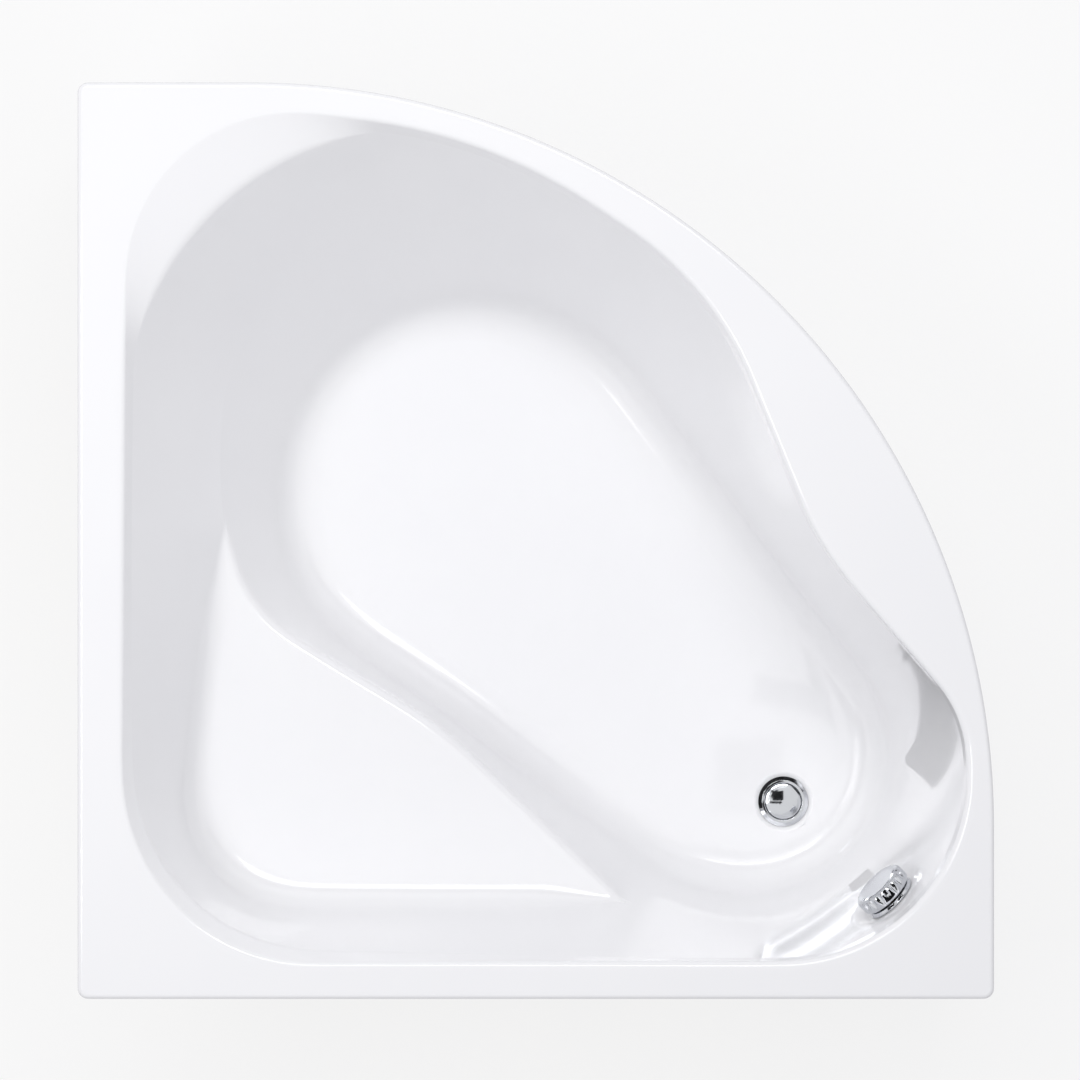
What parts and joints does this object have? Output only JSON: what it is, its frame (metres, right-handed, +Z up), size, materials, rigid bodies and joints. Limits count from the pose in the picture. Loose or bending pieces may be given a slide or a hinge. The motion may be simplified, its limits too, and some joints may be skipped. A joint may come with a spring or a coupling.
{
  "type": "corner bathtub",
  "caption": "Corner bathtub with a curved front panel, moulded corner seat and headrest, pop-up waste worked by an overflow knob, and levelling feet on a steel frame.",
  "frame": {"origin": "on the floor under the middle of the tub, the centre of its bounding box", "axes": "+Z up; the room walls are at -X and +Y, the curved front faces +X and -Y; the waste is at the -X,-Y end and the headrest at the +X,+Y end"},
  "size_m": [1.202, 1.2, 0.57],
  "materials": {
    "acrylic_white": "gloss",
    "chipboard": "matt",
    "pine": "matt",
    "zinc_steel": "satin",
    "black_plastic": "matt",
    "chrome": "polished",
    "seal_rubber": "matt",
    "fitting_plastic": "satin",
    "nut_plastic": "satin",
    "hose_plastic": "satin",
    "brass": "satin"
  },
  "bodies": {
    "tub": {"tub_shell": "acrylic_white", "base_board": "chipboard", "rim_batten_left": "pine", "rim_batten_rear": "pine", "front_batten": "pine", "foot_rail": "zinc_steel", "head_rail": "zinc_steel", "spine_rail": "zinc_steel", "rail_end_caps": "black_plastic", "rail_screws": "zinc_steel", "spine_screws": "zinc_steel", "foot_lock_nuts": "zinc_steel", "front_panel": "acrylic_white", "panel_brackets": "zinc_steel", "bracket_screws": "zinc_steel", "panel_screws": "zinc_steel", "panel_screw_caps": "acrylic_white", "wall_clips": "zinc_steel", "waste_upper_seal": "seal_rubber", "waste_flange": "chrome", "waste_lower_seal": "seal_rubber", "waste_body": "fitting_plastic", "lever_pin_rod": "brass", "trap_bend_pipe": "fitting_plastic", "outlet_elbow": "fitting_plastic", "outlet_pipe": "fitting_plastic", "trap_nuts": "nut_plastic", "overflow_front_seal": "seal_rubber", "overflow_rosette": "chrome", "overflow_back_seal": "seal_rubber", "overflow_body": "fitting_plastic", "overflow_hose": "hose_plastic", "hose_nuts": "nut_plastic", "bowden_cable": "black_plastic"},
    "knob": {"overflow_knob": "chrome", "overflow_spindle": "brass", "cable_drum": "brass"},
    "plug": {"waste_plug": "chrome", "plug_seal": "seal_rubber", "plug_stem": "brass"},
    "lever": {"lift_lever": "brass"},
    "foot_1": {"foot_rod_1": "zinc_steel", "foot_pad_1": "black_plastic"},
    "foot_2": {"foot_rod_2": "zinc_steel", "foot_pad_2": "black_plastic"},
    "foot_3": {"foot_rod_3": "zinc_steel", "foot_pad_3": "black_plastic"},
    "foot_4": {"foot_rod_4": "zinc_steel", "foot_pad_4": "black_plastic"},
    "foot_5": {"foot_rod_5": "zinc_steel", "foot_pad_5": "black_plastic"}
  },
  "joints": [
    {"name": "knob_turn", "type": "hinge", "parent": "tub", "child": "knob", "pos_m": [-0.4754, -0.4724, 0.48], "axis": [0.69, 0.69, 0.2184], "range_deg": [0, 90]},
    {"name": "plug_lift", "type": "slide", "parent": "tub", "child": "plug", "axis": [0, 0, 1], "range_m": [0, 0.011]},
    {"name": "lever_lift", "type": "hinge", "parent": "tub", "child": "lever", "pos_m": [-0.34164, -0.36501, 0.118], "axis": [-0.6669, -0.7452, 0], "range_deg": [-19, 0]},
    {"name": "foot_1_level", "type": "slide", "parent": "tub", "child": "foot_1", "axis": [0, 0, 1], "range_m": [-0.012, 0.012]},
    {"name": "foot_2_level", "type": "slide", "parent": "tub", "child": "foot_2", "axis": [0, 0, 1], "range_m": [-0.012, 0.012]},
    {"name": "foot_3_level", "type": "slide", "parent": "tub", "child": "foot_3", "axis": [0, 0, 1], "range_m": [-0.012, 0.012]},
    {"name": "foot_4_level", "type": "slide", "parent": "tub", "child": "foot_4", "axis": [0, 0, 1], "range_m": [-0.012, 0.012]},
    {"name": "foot_5_level", "type": "slide", "parent": "tub", "child": "foot_5", "axis": [0, 0, 1], "range_m": [-0.012, 0.012]}
  ],
  "couplings": [
    {"joint": "plug_lift", "follows": "knob_turn", "m_per_rad": 0.007},
    {"joint": "lever_lift", "follows": "knob_turn", "ratio": -0.211}
  ]
}
